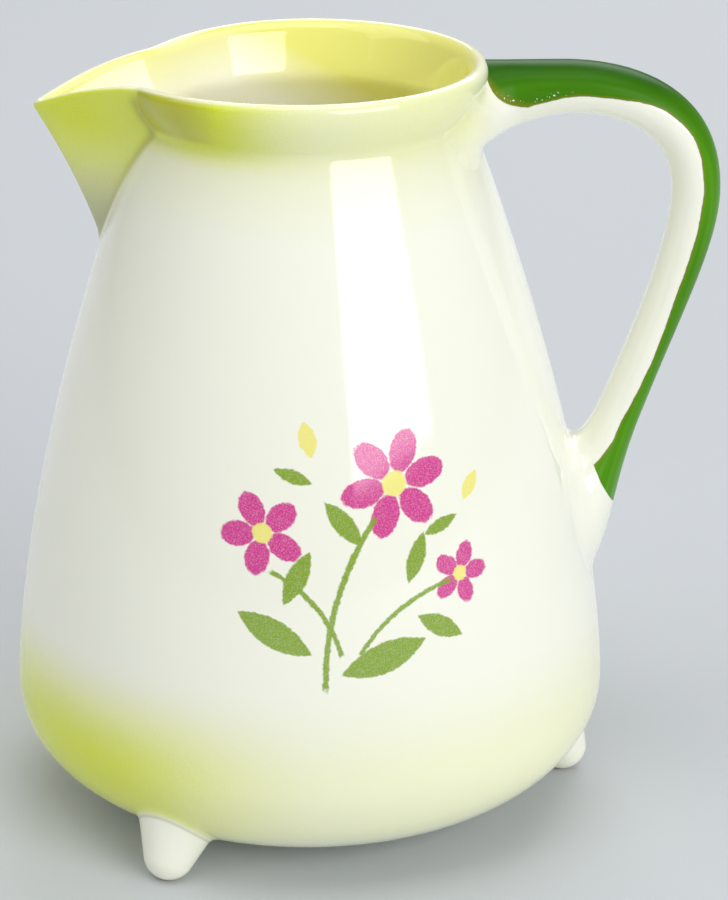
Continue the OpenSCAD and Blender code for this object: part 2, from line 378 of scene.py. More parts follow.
def makeJug():
    angle = jugColumns()
    r, z, bellyRow, crestRow = jugRows(angle)
    grid = np.stack([axisX - r * np.cos(angle), -r * np.sin(angle), z], -1).reshape(-1, 3)
    poles = [[axisX, 0, z[0, 0]], [axisX, 0, z[-1, 0]]]
    piece = makeObject("jugBody", np.vstack([grid, poles]) * mm, tubeFaces(*r.shape))
    # Length along each column, counted from the crest: positive outside, negative inside
    steps = np.hypot(np.diff(r, axis=0), np.diff(z, axis=0))
    run = np.vstack([np.zeros(len(angle)), np.cumsum(steps, axis=0)])
    fromLip = run[crestRow] - run
    lead = beakRadius(angle, z, 0) - wallRadius(z, 0)
    spoutSide = np.abs(angle) < math.pi / 2
    onSpout = smoothStep(*beak["faceEdge"], lead) * spoutSide
    inCrease = np.exp(-(lead / beak["creaseOliveWidth"]) ** 2) * spoutSide
    for name, values, atPoles in (
        ("fromLip", fromLip, [fromLip.max(), fromLip.min()]),
        ("onSpout", onSpout, [0, 0]),
        ("inCrease", inCrease, [0, 0]),
    ):
        storeFloat(piece, name, np.append(values.ravel(), atPoles))
    mapSprig(piece, angle, r, run - run[bellyRow])
    return piece


# How the handle and the feet run out onto the wall in a fillet: points near the wall slide sideways over it.
# Below the face they run on as a thin flange, and stay close under the face, clear of the other side.
seat = dict(flangeDepth=1, flangeReach=0.45, flangeSlope=0.25, underSteps=80, sideSteps=420)


# Dense outline of the wall
def wallOutline():
    low = np.stack(underCurve(np.radians(np.linspace(0, 90, seat["underSteps"])), bellyR, baseZ), -1)
    z = np.linspace(jug["bellyHeight"], rimEdgeZ, seat["sideSteps"])[1:]
    high = np.stack([wallRadius(z, 0), z], -1)
    return np.vstack([[[0, baseZ]], low, high])


# Signed distance of points (in mm) from the wall, and the wall's normal there
def fromWall(points):
    outline = wallOutline()
    ends = np.diff(outline, axis=0)
    around = np.hypot(points[:, 0] - axisX, points[:, 1])
    flat = np.stack([around, points[:, 2]], -1)
    gap = flat[:, None, :] - outline[None, :-1, :]
    share = np.clip((gap * ends).sum(-1) / (ends ** 2).sum(-1), 0, 1)
    miss = gap - share[..., None] * ends
    best = (miss ** 2).sum(-1).argmin(1)
    pick = np.arange(len(points))
    along = ends[best] / np.linalg.norm(ends[best], axis=1, keepdims=True)
    normal = np.stack([along[:, 1], -along[:, 0]], -1)
    distance = (miss[pick, best] * normal).sum(-1)
    spoke = np.stack([points[:, 0] - axisX, points[:, 1]], -1) / np.maximum(around, tiny)[:, None]
    facing = np.stack([spoke[:, 0] * normal[:, 0], spoke[:, 1] * normal[:, 0], normal[:, 1]], -1)
    return distance, facing


def seatOnWall(piece, radius, buried):
    mesh = piece.data
    points = readFloats(mesh.vertices, "co", 3) / mm
    normals = readFloats(mesh.vertex_normals, "vector", 3)
    distance, facing = fromWall(points)
    side = normals - (normals * facing).sum(1, keepdims=True) * facing
    side /= np.maximum(np.linalg.norm(side, axis=1, keepdims=True), tiny)
    safe = np.maximum(radius, tiny)
    depth = np.clip(distance, 0, safe)
    slide = safe - np.sqrt(np.maximum(safe ** 2 - (safe - depth) ** 2, 0))
    flange = np.clip(-distance, 0, seat["flangeDepth"])
    slide += flange * seat["flangeReach"] * radius
    sunk = flange * seat["flangeSlope"] + np.maximum(-distance - seat["flangeDepth"], 0)
    settled = np.where(distance > 0, distance, -np.minimum(sunk, buried))
    moved = points + side * np.where(radius > 0, slide, 0)[:, None]
    newDistance, newFacing = fromWall(moved)
    near = (distance < radius)[:, None]
    moved += np.where(near, newFacing * (settled - newDistance)[:, None], 0)
    mesh.vertices.foreach_set("co", (moved * mm).ravel())
    mesh.update()
    return distance


def closeNormals(piece):
    work = bmesh.new()
    work.from_mesh(piece.data)
    bmesh.ops.remove_doubles(work, verts=work.verts, dist=weldGap)
    bmesh.ops.recalc_face_normals(work, faces=work.faces)
    work.to_mesh(piece.data)
    work.free()


# A geometry tree with named inputs: what adds its nodes, the tree, the inputs' identifiers and their sockets
def startTree(name, sockets):
    tree = bpy.data.node_groups.new(name, "GeometryNodeTree")
    names = {}
    for label, kind in sockets.items():
        names[label] = tree.interface.new_socket(label, in_out="INPUT", socket_type=kind).identifier
    tree.interface.new_socket("Geometry", in_out="OUTPUT", socket_type="NodeSocketGeometry")
    given = tree.nodes.new("NodeGroupInput").outputs
    return partial(addNode, tree), tree, names, given


# Runs a tree once and keeps the result as a plain mesh.
def bakeTree(name, tree, names, values):
    piece = makeObject(name, [], [])
    modifier = piece.modifiers.new(name, "NODES")
    modifier.node_group = tree
    for label, value in values.items():
        modifier[names[label]] = value
    bpy.context.view_layer.update()
    graph = bpy.context.evaluated_depsgraph_get()
    mesh = bpy.data.meshes.new_from_object(piece.evaluated_get(graph))
    piece.modifiers.clear()
    piece.data = mesh
    mesh.name = name
    return piece


# Handle: a skin between two rails in the plane of the spout, one on the outer face and one on the inner.
# A rail has five knots and four legs. It has a heading in degrees at each knot, and each leg is pulled along
# the headings at its two ends by shares of its span.
grip = dict(
    reach=(handleHigh.x / mm - axisX), outHeight=rimZ - 34.5, top=rimZ - 0.5, topTurn=64.5, innerTurn=67.85,
    width=16, topThick=13.4, outThick=12.5, waistThick=11.6,
    rootWidth=37, rootBottom=rimZ - 32.7, rootOpens=(0.1, 0.6), rootTaper=0.6, rootLegs=2,
    waistHeight=100, waistGap=18.6, waistAngle=36,
    crotchHeight=96.8, tailHeight=51.4, tailWidth=36, tailLeg=3, runsIn=9,
    rootFillet=dict(outer=0, side=7, inner=0.8), tailFillet=dict(outer=1.5, side=4, inner=2), buried=2,
    filletOpens=(0.2, 0.8),  # shares of the thickness below the top, which runs straight into the rim
    rings=(60, 44, 44, 70), sides=64,
    outerWays=(0, 0, -90, -109, -138), outerPulls=((0.3, 0.3), (0.4, 0.46), (0.22, 0.5), (0.46, 0.34)),
    innerWays=(66, 0, -90, -112, -228), innerPulls=((0.46, 0.2), (0.29, 0.5), (0.23, 0.4), (1.09, 0.65)),
)


def railPoints(knots, ways, pulls):
    knots = np.array(knots, float)
    way = np.stack([np.cos(np.radians(ways)), np.sin(np.radians(ways))], -1)
    points = [knots[:1]]
    for k, count in enumerate(grip["rings"]):
        span = np.linalg.norm(knots[k + 1] - knots[k])
        first = knots[k] + span * pulls[k][0] * way[k]
        second = knots[k + 1] - span * pulls[k][1] * way[k + 1]
        t = np.linspace(0, 1, count + 1)[1:, None]
        points.append(
            (1 - t) ** 3 * knots[k] + 3 * (1 - t) ** 2 * t * first
            + 3 * (1 - t) * t ** 2 * second + t ** 3 * knots[k + 1]
        )
    return np.vstack(points)


# 1 where the root is widest, 0 where the plain grip begins
def rootShare(leg):
    opens, closes = grip["rootOpens"]
    return (1 + np.cos(math.pi * np.clip((leg - opens) / (closes - opens), 0, 1))) / 2


def handleRails():
    waist = np.array([sideRadius(grip["waistHeight"]) + grip["waistGap"], grip["waistHeight"]])
    lean = math.radians(grip["waistAngle"])
    outer = [
        (jug["neckRadius"] - grip["runsIn"], grip["top"]),
        (grip["topTurn"], grip["top"]),
        (grip["reach"], grip["outHeight"]),
        waist,
        (sideRadius(grip["tailHeight"]) - grip["runsIn"], grip["tailHeight"]),
    ]
    inner = [
        (jug["neckRadius"] - jug["wall"], grip["rootBottom"]),
        (grip["innerTurn"], grip["top"] - grip["topThick"]),
        (grip["reach"] - grip["outThick"], grip["outHeight"]),
        waist + grip["waistThick"] * np.array([-math.cos(lean), math.sin(lean)]),
        (sideRadius(grip["crotchHeight"]) - grip["runsIn"], grip["crotchHeight"] + grip["runsIn"]),
    ]
    leg = np.concatenate([[0], *[k + np.linspace(0, 1, n + 1)[1:] for k, n in enumerate(grip["rings"])]])
    width = mix(grip["width"], grip["rootWidth"], rootShare(leg))
    tail = np.sin(np.clip(leg - grip["tailLeg"], 0, 1) * math.pi / 2)
    width = np.where(leg > grip["tailLeg"], mix(grip["width"], grip["tailWidth"], tail), width)
    rails = []
    for name, knots in (("outer", outer), ("inner", inner)):
        points = railPoints(knots, grip[name + "Ways"], grip[name + "Pulls"])
        places = np.stack([points[:, 0] + axisX, 0 * points[:, 0], points[:, 1]], -1) * mm
        rail = makeObject(name + "Rail", places, [])
        storeFloat(rail, "halfWidth", width / 2 * mm)
        storeFloat(rail, "leg", leg)
        rails.append(rail)
    return rails


def railSkinTree():
    add, tree, names, given = startTree("railSkin", {
        "Outer rail": "NodeSocketObject", "Inner rail": "NodeSocketObject",
        "Rings": "NodeSocketInt", "Sides": "NodeSocketInt", "Material": "NodeSocketMaterial",
    })
    outer, inner = (
        add("GeometryNodeObjectInfo", {"Object": given[rail]}, out="Geometry")
        for rail in ("Outer rail", "Inner rail")
    )
    lastRing = add(mathNode, (given["Rings"], 1), operation="SUBTRACT")
    around = add(mathNode, (given["Sides"], 1), operation="ADD")
    sheet = add("GeometryNodeMeshGrid", {
        "Size X": 1, "Size Y": 1, "Vertices X": given["Rings"], "Vertices Y": around,
    })
    place = add("GeometryNodeInputPosition")
    flat = add(splitNode, (place,))
    share = add(mathNode, (flat, 0.5), operation="ADD")
    ring = add(mathNode, (share, lastRing), operation="MULTIPLY")
    ring = add(mathNode, (ring,), operation="ROUND")
    turn = add(mathNode, (flat.node.outputs["Y"], 2 * math.pi), operation="MULTIPLY")
    half, leg = (
        add("GeometryNodeInputNamedAttribute", {"Name": name}, data_type="FLOAT")
        for name in ("halfWidth", "leg")
    )
    onOuter, onInner, half, leg = (
        add("GeometryNodeSampleIndex", {"Geometry": rail, "Value": value, "Index": ring}, data_type=kind)
        for rail, value, kind in (
            (outer, place, "FLOAT_VECTOR"), (inner, place, "FLOAT_VECTOR"),
            (outer, half, "FLOAT"), (outer, leg, "FLOAT"),
        )
    )
    # The first and last rings shrink to a point, inside the wall, which closes the skin
    toEnd = add(mathNode, (lastRing, ring), operation="SUBTRACT")
    opened = add(mathNode, (ring, toEnd), operation="MINIMUM")
    opened = add(mathNode, (opened, 1), operation="MINIMUM")
    across, side = (add(mathNode, (turn,), operation=wave) for wave in ("COSINE", "SINE"))
    across = add(mathNode, (across, opened), operation="MULTIPLY")
    for size in (opened, half):
        side = add(mathNode, (side, size), operation="MULTIPLY")
    middle = add(mixNode, {"Factor": 0.5, 4: onInner, 5: onOuter}, out=1, data_type="VECTOR")
    reach = add(vectorNode, (onOuter, middle), operation="SUBTRACT")
    reach = add(vectorNode, {0: reach, "Scale": across}, operation="SCALE")
    sideways = add("ShaderNodeCombineXYZ", {"Y": side})
    target = middle
    for part in (reach, sideways):
        target = add(vectorNode, (target, part), operation="ADD")
    skin = sheet
    bothWays = add(mathNode, (turn,), operation="ABSOLUTE")
    for name, value in (("leg", leg), ("turn", bothWays)):
        skin = add("GeometryNodeStoreNamedAttribute", {
            "Geometry": skin, "Name": name, "Value": value,
        }, data_type="FLOAT")
    skin = add("GeometryNodeSetPosition", {"Geometry": skin, "Position": target})
    skin = add("GeometryNodeMergeByDistance", {"Geometry": skin, "Distance": weldGap})
    skin = add("GeometryNodeSetShadeSmooth", {"Geometry": skin})
    skin = add("GeometryNodeRealizeInstances", {"Geometry": skin})
    skin = add("GeometryNodeSetMaterial", {"Geometry": skin, "Material": given["Material"]})
    add("NodeGroupOutput", {"Geometry": skin})
    return tree, names


# Green paint on the outer face: how far round it reaches, in degrees, at places along the legs
paintEdge = dict(
    legs=(
        0.37, 0.385, 0.42, 0.46, 0.52, 0.63, 0.9, 1.3, 1.5, 1.7, 1.9, 2.1, 2.5, 2.8, 3.05, 3.3, 3.335, 3.35,
    ),
    turns=(0, 45, 69, 83, 97, 109, 99, 88, 73, 68, 77, 84, 83, 75, 91, 113, 78, 0),
    noPaint=-40, sectionRadius=7.5,
    shadeLegs=(1.4, 1.9, 2.1, 2.4, 2.7, 2.95), shades=(1, 0, 0, 0.42, 0.42, 0),
    shadeTurns=(25, 75), sideShade=0.4,  # painted shade: the darker green is full on top, and less down the sides
)


def makeHandle(material):
    outer, inner = handleRails()
    tree, names = railSkinTree()
    piece = bakeTree("gripHandle", tree, names, {
        "Outer rail": outer, "Inner rail": inner,
        "Rings": sum(grip["rings"]) + 1, "Sides": grip["sides"], "Material": material,
    })
    for rail in (outer, inner):
        bpy.data.objects.remove(rail)
    closeNormals(piece)
    leg, turn = (readFloats(piece.data.attributes[name].data, "value") for name in ("leg", "turn"))
    onOuter, onInner = (((1 + way * np.cos(turn)) / 2) ** 2 for way in (1, -1))
    # The root is egg-shaped in section, narrower along its top
    points = readFloats(piece.data.vertices, "co", 3)
    points[:, 1] *= 1 - grip["rootTaper"] * rootShare(leg) * onOuter
    piece.data.vertices.foreach_set("co", points.ravel())
    facing = dict(outer=onOuter, side=np.sin(turn) ** 2, inner=onInner)
    rootFillet, tailFillet = (
        sum(grip[end][face] * share for face, share in facing.items()) for end in ("rootFillet", "tailFillet")
    )
    belowTop = (grip["top"] - points[:, 2] / mm) / grip["topThick"]
    rootFillet = rootFillet * smoothStep(*grip["filletOpens"], belowTop)
    seatOnWall(piece, np.where(leg < grip["rootLegs"], rootFillet, tailFillet), grip["buried"])
    fromTop = np.degrees(turn)
    reach = np.interp(
        leg, paintEdge["legs"], paintEdge["turns"], left=paintEdge["noPaint"], right=paintEdge["noPaint"],
    )
    storeFloat(piece, "paintMargin", np.radians(reach - fromTop) * paintEdge["sectionRadius"])
    # Painted shade on the green: darker on top, and along parts of the lower legs
    shade = np.interp(leg, paintEdge["shadeLegs"], paintEdge["shades"])
    shade *= np.interp(fromTop, paintEdge["shadeTurns"], (1, paintEdge["sideShade"]))
    storeFloat(piece, "paintedShadeOnGreen", shade)
    return piece


# Feet: one blunt cone that leans outwards, set three times round the axis
foot = dict(
    count=3, inset=8.2, shift=1.4, lean=30,  # the ring's middle is set towards the spout by the shift
    tipRadius=6.6, flatRadius=2, length=16, taper=21, fillet=1.6, buried=1.5,
    tipRows=12, coneRows=46, sides=64,
)


def oneFoot():
    tip, taper, lean = foot["tipRadius"], math.radians(foot["taper"]), math.radians(foot["lean"])
    bend = np.linspace(0, math.pi / 2 - taper, foot["tipRows"])[1:]
    r, h = tip * np.sin(bend), -tip * np.cos(bend)
    cone = np.linspace(h[-1], foot["length"], foot["coneRows"])[1:]
    r = np.append(r, r[-1] + (cone - h[-1]) * math.tan(taper))[:, None]
    h = np.append(h, cone)[:, None]
    spin = np.linspace(0, 2 * math.pi, foot["sides"], endpoint=False)
    local = np.stack([r * np.cos(spin), r * np.sin(spin), np.repeat(h, len(spin), 1)], -1).reshape(-1, 3)
    local = np.vstack([local, [[0, 0, -tip], [0, 0, foot["length"]]]])
    middleZ = math.sqrt(tip ** 2 - foot["flatRadius"] ** 2)
    turn = np.array([[math.cos(lean), 0, -math.sin(lean)], [0, 1, 0], [math.sin(lean), 0, math.cos(lean)]])
    points = local @ turn.T + np.array([bellyR - foot["inset"], 0, middleZ])
    points[:, 2] = np.maximum(points[:, 2], 0)  # ground flat where it stands
    return makeObject("footMould", points * mm, tubeFaces(len(r), len(spin)))


def ringTree():
    add, tree, names, given = startTree("ringOfFeet", {
        "Foot": "NodeSocketObject", "Count": "NodeSocketInt", "Middle": "NodeSocketVector",
        "Material": "NodeSocketMaterial",
    })
    mould = add("GeometryNodeObjectInfo", {"Object": given["Foot"]}, out="Geometry")
    step = add(mathNode, (2 * math.pi, given["Count"]), operation="DIVIDE")
    index = add("GeometryNodeInputIndex")
    turn = add(mathNode, (index, step), operation="MULTIPLY")
    turn = add("ShaderNodeCombineXYZ", {"Z": turn})
    turn = add("FunctionNodeEulerToRotation", (turn,))
    spots = add("GeometryNodePoints", {"Count": given["Count"], "Position": given["Middle"]})
    feet = add("GeometryNodeInstanceOnPoints", {"Points": spots, "Instance": mould, "Rotation": turn})
    feet = add("GeometryNodeRealizeInstances", {"Geometry": feet})
    feet = add("GeometryNodeSetMaterial", {"Geometry": feet, "Material": given["Material"]})
    add("NodeGroupOutput", {"Geometry": feet})
    return tree, names


def makeFeet(material):
    mould = oneFoot()
    tree, names = ringTree()
    piece = bakeTree("nubFeet", tree, names, {
        "Foot": mould, "Count": foot["count"], "Middle": ((axisX - foot["shift"]) * mm, 0, 0),
        "Material": material,
    })
    bpy.data.objects.remove(mould)
    distance = seatOnWall(piece, np.full(len(piece.data.vertices), float(foot["fillet"])), foot["buried"])
    storeFloat(piece, "offWall", distance)
    return piece


# Earthenware under a clear gloss glaze: pale body, mirror-like skin with a slow ripple from the dipping
glaze = dict(
    cream="#f1f2e4", ior=1.6, shine=0.5, roughness=(0.055, 0.105),
    ripple=16, rippleDepth=0.05, peel=1.6, peelDepth=0.003,  # mm; peel is drawn coarse enough to show
)
noiseSpan = (0.3, 0.7)  # most values of a noise texture lie between these
noiseMiddle = 0.5


# A glazed material, what adds its nodes, its shader, its coordinates, and those in mm from the jug's axis
def startMaterial(name):
    material = bpy.data.materials.new(name)
    material.use_nodes = True
    add = partial(addNode, material.node_tree)
    shader = material.node_tree.nodes["Principled BSDF"]
    shader.inputs["IOR"].default_value = glaze["ior"]
    coords = add("ShaderNodeTexCoord", out="Object")
    centred = add("ShaderNodeMapping", {"Vector": coords, "Location": (-axisX * mm, 0, 0)})
    inMm = add(vectorNode, {0: centred, "Scale": 1 / mm}, operation="SCALE")
    return material, add, shader, coords, inMm


# Colour and gloss skin: uneven polish, slow ripple and fine peel. Paint is less glossy, and stands proud.
def finishGlaze(add, shader, coords, colour, paint=None):
    ripple, peel = (
        add(noiseNode, {"Vector": coords, "Scale": 1 / (glaze[size] * mm), "Detail": detail})
        for size, detail in (("ripple", 2), ("peel", 1))
    )
    found = {}
    rough = add(rangeNode, (ripple, *noiseSpan, *glaze["roughness"]))
    height = add(mathNode, (ripple, glaze["rippleDepth"]), operation="MULTIPLY")
    height = add(mathNode, (peel, glaze["peelDepth"], height), operation="MULTIPLY_ADD")
    if paint is not None:
        rough = add(mixNode, {0: paint, 2: rough, 3: enamel["roughness"]})
        shine = add(mixNode, {0: paint, 2: glaze["shine"], 3: enamel["shine"]})
        found["Specular IOR Level"] = shine
        height = add(mathNode, (paint, enamel["thick"], height), operation="MULTIPLY_ADD")
    bump = add("ShaderNodeBump", {"Height": height, "Distance": mm, "Strength": 1})
    found.update({"Base Color": colour, "Roughness": rough, "Normal": bump})
    for name, socket in found.items():
        shader.id_data.links.new(socket, shader.inputs[name])


# Stencilled flower sprig on the viewer's side of the belly, in mm across and up from its middle
sprig = dict(
    angle=98, height=62, belowLip=5,
    magenta="#cf2f8e", leafGreen="#7fa012", yellow="#efe67c",
    edge=0.5, rag=1.1, ragDepth=0.45, stemEnds=4,
    grain=0.35, grainSpan=(0.3, 0.55), grainCover=(0.8, 0.98),
    flowers=[
        dict(at=(12, 16), petals=6, ring=8.2, half=(5.4, 3.5), heart=3.1, turn=12),
        dict(at=(-21, 5), petals=5, ring=6.2, half=(4.4, 3.1), heart=2.5, turn=40),
        dict(at=(29, -9), petals=5, ring=4.6, half=(3.3, 2.3), heart=1.9, turn=0),
    ],
    buds=[
        dict(at=(-9, 28), half=(4.6, 2.2), turn=100),
        dict(at=(33, 12), half=(4.0, 1.9), turn=55),
    ],
    leaves=[
        dict(at=(-19, -20), half=(10.5, 3.6), turn=150),
        dict(at=(8, -27), half=(11.5, 3.9), turn=18),
        dict(at=(-13, -6), half=(7.5, 2.6), turn=62),
        dict(at=(17, -3), half=(6.5, 2.3), turn=70),
        dict(at=(-1, 7), half=(7.2, 2.5), turn=128),
        dict(at=(23, -21), half=(7.0, 2.5), turn=-30),
        dict(at=(24, 4), half=(5.0, 1.7), turn=20),
        dict(at=(-13, 19), half=(5.0, 1.7), turn=160),
    ],
    stems=[
        dict(at=(0, -13), half=22, bow=3.5, turn=72, thick=1.5),
        dict(at=(-11, -15), half=13.5, bow=-3.0, turn=128, thick=1.3),
        dict(at=(14, -18), half=14.5, bow=3.2, turn=33, thick=1.2),
    ],
)


# Shape groups: positive inside, in mm. Place is the point; Centre, Turn and Half Size set the shape.
def shapeGroup(name, extra=()):
    tree = bpy.data.node_groups.new(name, "ShaderNodeTree")
    for label in ("Place", "Centre", "Turn", "Half Size"):
        tree.interface.new_socket(label, in_out="INPUT", socket_type="NodeSocketVector")
    for label in extra:
        tree.interface.new_socket(label, in_out="INPUT", socket_type="NodeSocketFloat")
    tree.interface.new_socket("Inside", in_out="OUTPUT", socket_type="NodeSocketFloat")
    given = tree.nodes.new("NodeGroupInput").outputs
    add = partial(addNode, tree)
    local = add("ShaderNodeMapping", {
        "Vector": given["Place"], "Location": given["Centre"],
        "Rotation": given["Turn"], "Scale": given["Half Size"],
    }, vector_type="TEXTURE")
    return add, tree, given, local


def petalGroup():
    add, tree, given, local = shapeGroup("petal")
    reach = add(vectorNode, (local,), out="Value", operation="LENGTH")
    inside = add(mathNode, (1, reach), operation="SUBTRACT")
    thin = add(splitNode, (given["Half Size"],), out="Y")
    inside = add(mathNode, (inside, thin), operation="MULTIPLY")
    add("NodeGroupOutput", {"Inside": inside})
    return tree


def leafGroup():
    add, tree, given, local = shapeGroup("leaf")
    along = add(splitNode, (local,))
    across = add(mathNode, (along.node.outputs["Y"],), operation="ABSOLUTE")
    square = add(mathNode, (along, along), operation="MULTIPLY")
    inside = 1
    for part in (square, across):
        inside = add(mathNode, (inside, part), operation="SUBTRACT")
    thin = add(splitNode, (given["Half Size"],), out="Y")
    inside = add(mathNode, (inside, thin), operation="MULTIPLY")
    add("NodeGroupOutput", {"Inside": inside})
    return tree


def stemGroup():
    add, tree, given, local = shapeGroup("stem", ("Bow", "Thick"))
    along = add(splitNode, (local,))
    square = add(mathNode, (along, along), operation="MULTIPLY")
    bound = add(mathNode, (1, square), operation="SUBTRACT")
    line = add(mathNode, (bound, given["Bow"]), operation="MULTIPLY")
    miss = add(mathNode, (along.node.outputs["Y"], line), operation="SUBTRACT")
    miss = add(mathNode, (miss,), operation="ABSOLUTE")
    inside = add(mathNode, (given["Thick"], miss), operation="SUBTRACT")
    ends = bound
    for part in (given["Thick"], sprig["stemEnds"]):
        ends = add(mathNode, (ends, part), operation="MULTIPLY")
    inside = add(mathNode, (inside, ends), operation="MINIMUM")
    add("NodeGroupOutput", {"Inside": inside})
    return tree


# The whole sprig as three fields, one for each colour, in the order in which they are laid on
def addSprig(add):
    petal, leaf, stem = petalGroup(), leafGroup(), stemGroup()
    uv = add("ShaderNodeUVMap", uv_map="sprigMap")
    place = add(vectorNode, (uv, (0, sprig["height"], 0)), operation="SUBTRACT")
    fields = dict.fromkeys(("magenta", "leafGreen", "yellow"))

    def join(colour, group, at, turn, half, **more):
        shape = add("ShaderNodeGroup", {
            "Place": place, "Centre": (*at, 0), "Turn": (0, 0, math.radians(turn)),
            "Half Size": (*half, 1), **more,
        }, node_tree=group)
        if fields[colour] is not None:
            shape = add(mathNode, (fields[colour], shape), operation="MAXIMUM")
        fields[colour] = shape

    for flower in sprig["flowers"]:
        for k in range(flower["petals"]):
            turn = flower["turn"] + 360 * k / flower["petals"]
            way = np.array([math.cos(math.radians(turn)), math.sin(math.radians(turn))])
            join("magenta", petal, np.array(flower["at"]) + way * flower["ring"], turn, flower["half"])
        join("yellow", petal, flower["at"], 0, (flower["heart"], flower["heart"]))
    for bud in sprig["buds"]:
        join("yellow", leaf, **bud)
    for blade in sprig["leaves"]:
        join("leafGreen", leaf, **blade)
    for stalk in sprig["stems"]:
        sizes = {"Bow": stalk["bow"], "Thick": stalk["thick"] / 2}
        join("leafGreen", stem, stalk["at"], stalk["turn"], (stalk["half"], 1), **sizes)
    return fields


# Airbrushed yellow-green round the collar, the spout and the foot of the body: droplets where it thins out.
# Each range says from where to where, and then the cover at its two ends where that isn't 0 and 1.
spray = dict(
    # Olive is the heaviest spray, made darker as painted shade; it shows mostly on the collar beside the
    # spout
    paleLime="#e9edac", paleCover=0.38, chartreuse="#d8e332", fullCover=0.8, oliveAndShade="#aaa522",
    grain=0.45, grainDepth=1.5, grainEnds=0.9, cloud=38, cloudCover=(0.88, 1.02),
    dense=(178.5, 187, 0, 0.8), mist=(160, 187, 0, 0.2),  # heights: the collar, and a thin mist below it
    spout=(143, 187, 0, 0.8), band=(60, 32), under=(5, 20, 0.1, 1),
    collarSide=(-0.1, 0.75, 0.16, 1), bandSide=(-0.1, 0.9, 0.19, 0.86),  # 1 at the spout, -1 at the handle
    onHandle=(50, 38),  # how far out on the handle it ends
)


def addSpray(add, coords, inMm, onSpout=0):
    handleward = add(splitNode, (inMm,))
    height = handleward.node.outputs["Z"]
    spoke = add(vectorNode, (inMm, (-1, 1, 0)), operation="MULTIPLY")
    spoke = add(vectorNode, (spoke,), operation="NORMALIZE")
    spoutward = add(splitNode, (spoke,))
    cloud, grain = (
        add(noiseNode, {"Vector": coords, "Scale": 1 / (spray[size] * mm), "Detail": 2})
        for size in ("cloud", "grain")
    )
    cloud = add(rangeNode, (cloud, *noiseSpan, *spray["cloudCover"]))
    dense, mist, spout, band, under, collarSide, bandSide, onHandle = (
        add(rangeNode, (value, *spray[zone]), **smooth)
        for value, zone in (
            (height, "dense"), (height, "mist"), (height, "spout"), (height, "band"), (height, "under"),
            (spoutward, "collarSide"), (spoutward, "bandSide"), (handleward, "onHandle"),
        )
    )
    collar = add(mathNode, (dense, collarSide, mist), operation="MULTIPLY_ADD")
    collar = add(mixNode, {0: onSpout, 2: collar, 3: spout})
    collar = add(mathNode, (collar, onHandle), operation="MULTIPLY")
    for share in (bandSide, under):
        band = add(mathNode, (band, share), operation="MULTIPLY")
    cover = add(mathNode, (collar, band), operation="MAXIMUM")
    cover = add(mathNode, (cover, cloud), operation="MULTIPLY")
    # Single droplets show neither on bare glaze nor in full cover
    grain = add(mathNode, (grain, noiseMiddle), operation="SUBTRACT")
    rest = add(mathNode, (spray["grainEnds"], cover), operation="SUBTRACT", use_clamp=True)
    for share in (cover, rest):
        grain = add(mathNode, (grain, share), operation="MULTIPLY")
    grown = (grain, spray["grainDepth"], cover)
    cover = add(mathNode, grown, operation="MULTIPLY_ADD", use_clamp=True)
    ramp = add("ShaderNodeValToRGB", (cover,))
    stops = ramp.node.color_ramp.elements
    stops[0].color = linearColour(glaze["cream"])
    stops[1].color = linearColour(spray["oliveAndShade"])
    stops.new(spray["paleCover"]).color = linearColour(spray["paleLime"])
    stops.new(spray["fullCover"]).color = linearColour(spray["chartreuse"])
    return ramp


# Glaze colours of the body and spout, with ranges as for the spray
jugGlaze = dict(
    paintedSpoutShade="#a2a678", paintedSpoutShadeHeights=(178, 156, 0, 0.72), face=(0.6, 1),  # painted shade: the foot of the spout's face is duller
    insideYellow="#eeec80", insidePale="#fdfcf2", inside=(0.5, -2.5),  # mm from the crest of the lip
    sooner=(-20, 30, 11, -16.5), depths=(10, 28),  # yellow pales with depth, sooner on the spout's side
    creaseOlive="#978c0c", creaseOliveHeights=(150, 184, 0, 0.5), creaseOliveBelowLip=(2, 5),  # darker olive along the spout's crease, near the collar
    lipPaleAndHighlight="#f7f7d8", crestAt=0.3, crestFades=(0.6, 1.5),  # the crest of the lip is paler: thin glaze there, and a painted highlight,
    crestPaleSides=(-5, -22, 0.5, 0.92),  # most on the spout
)


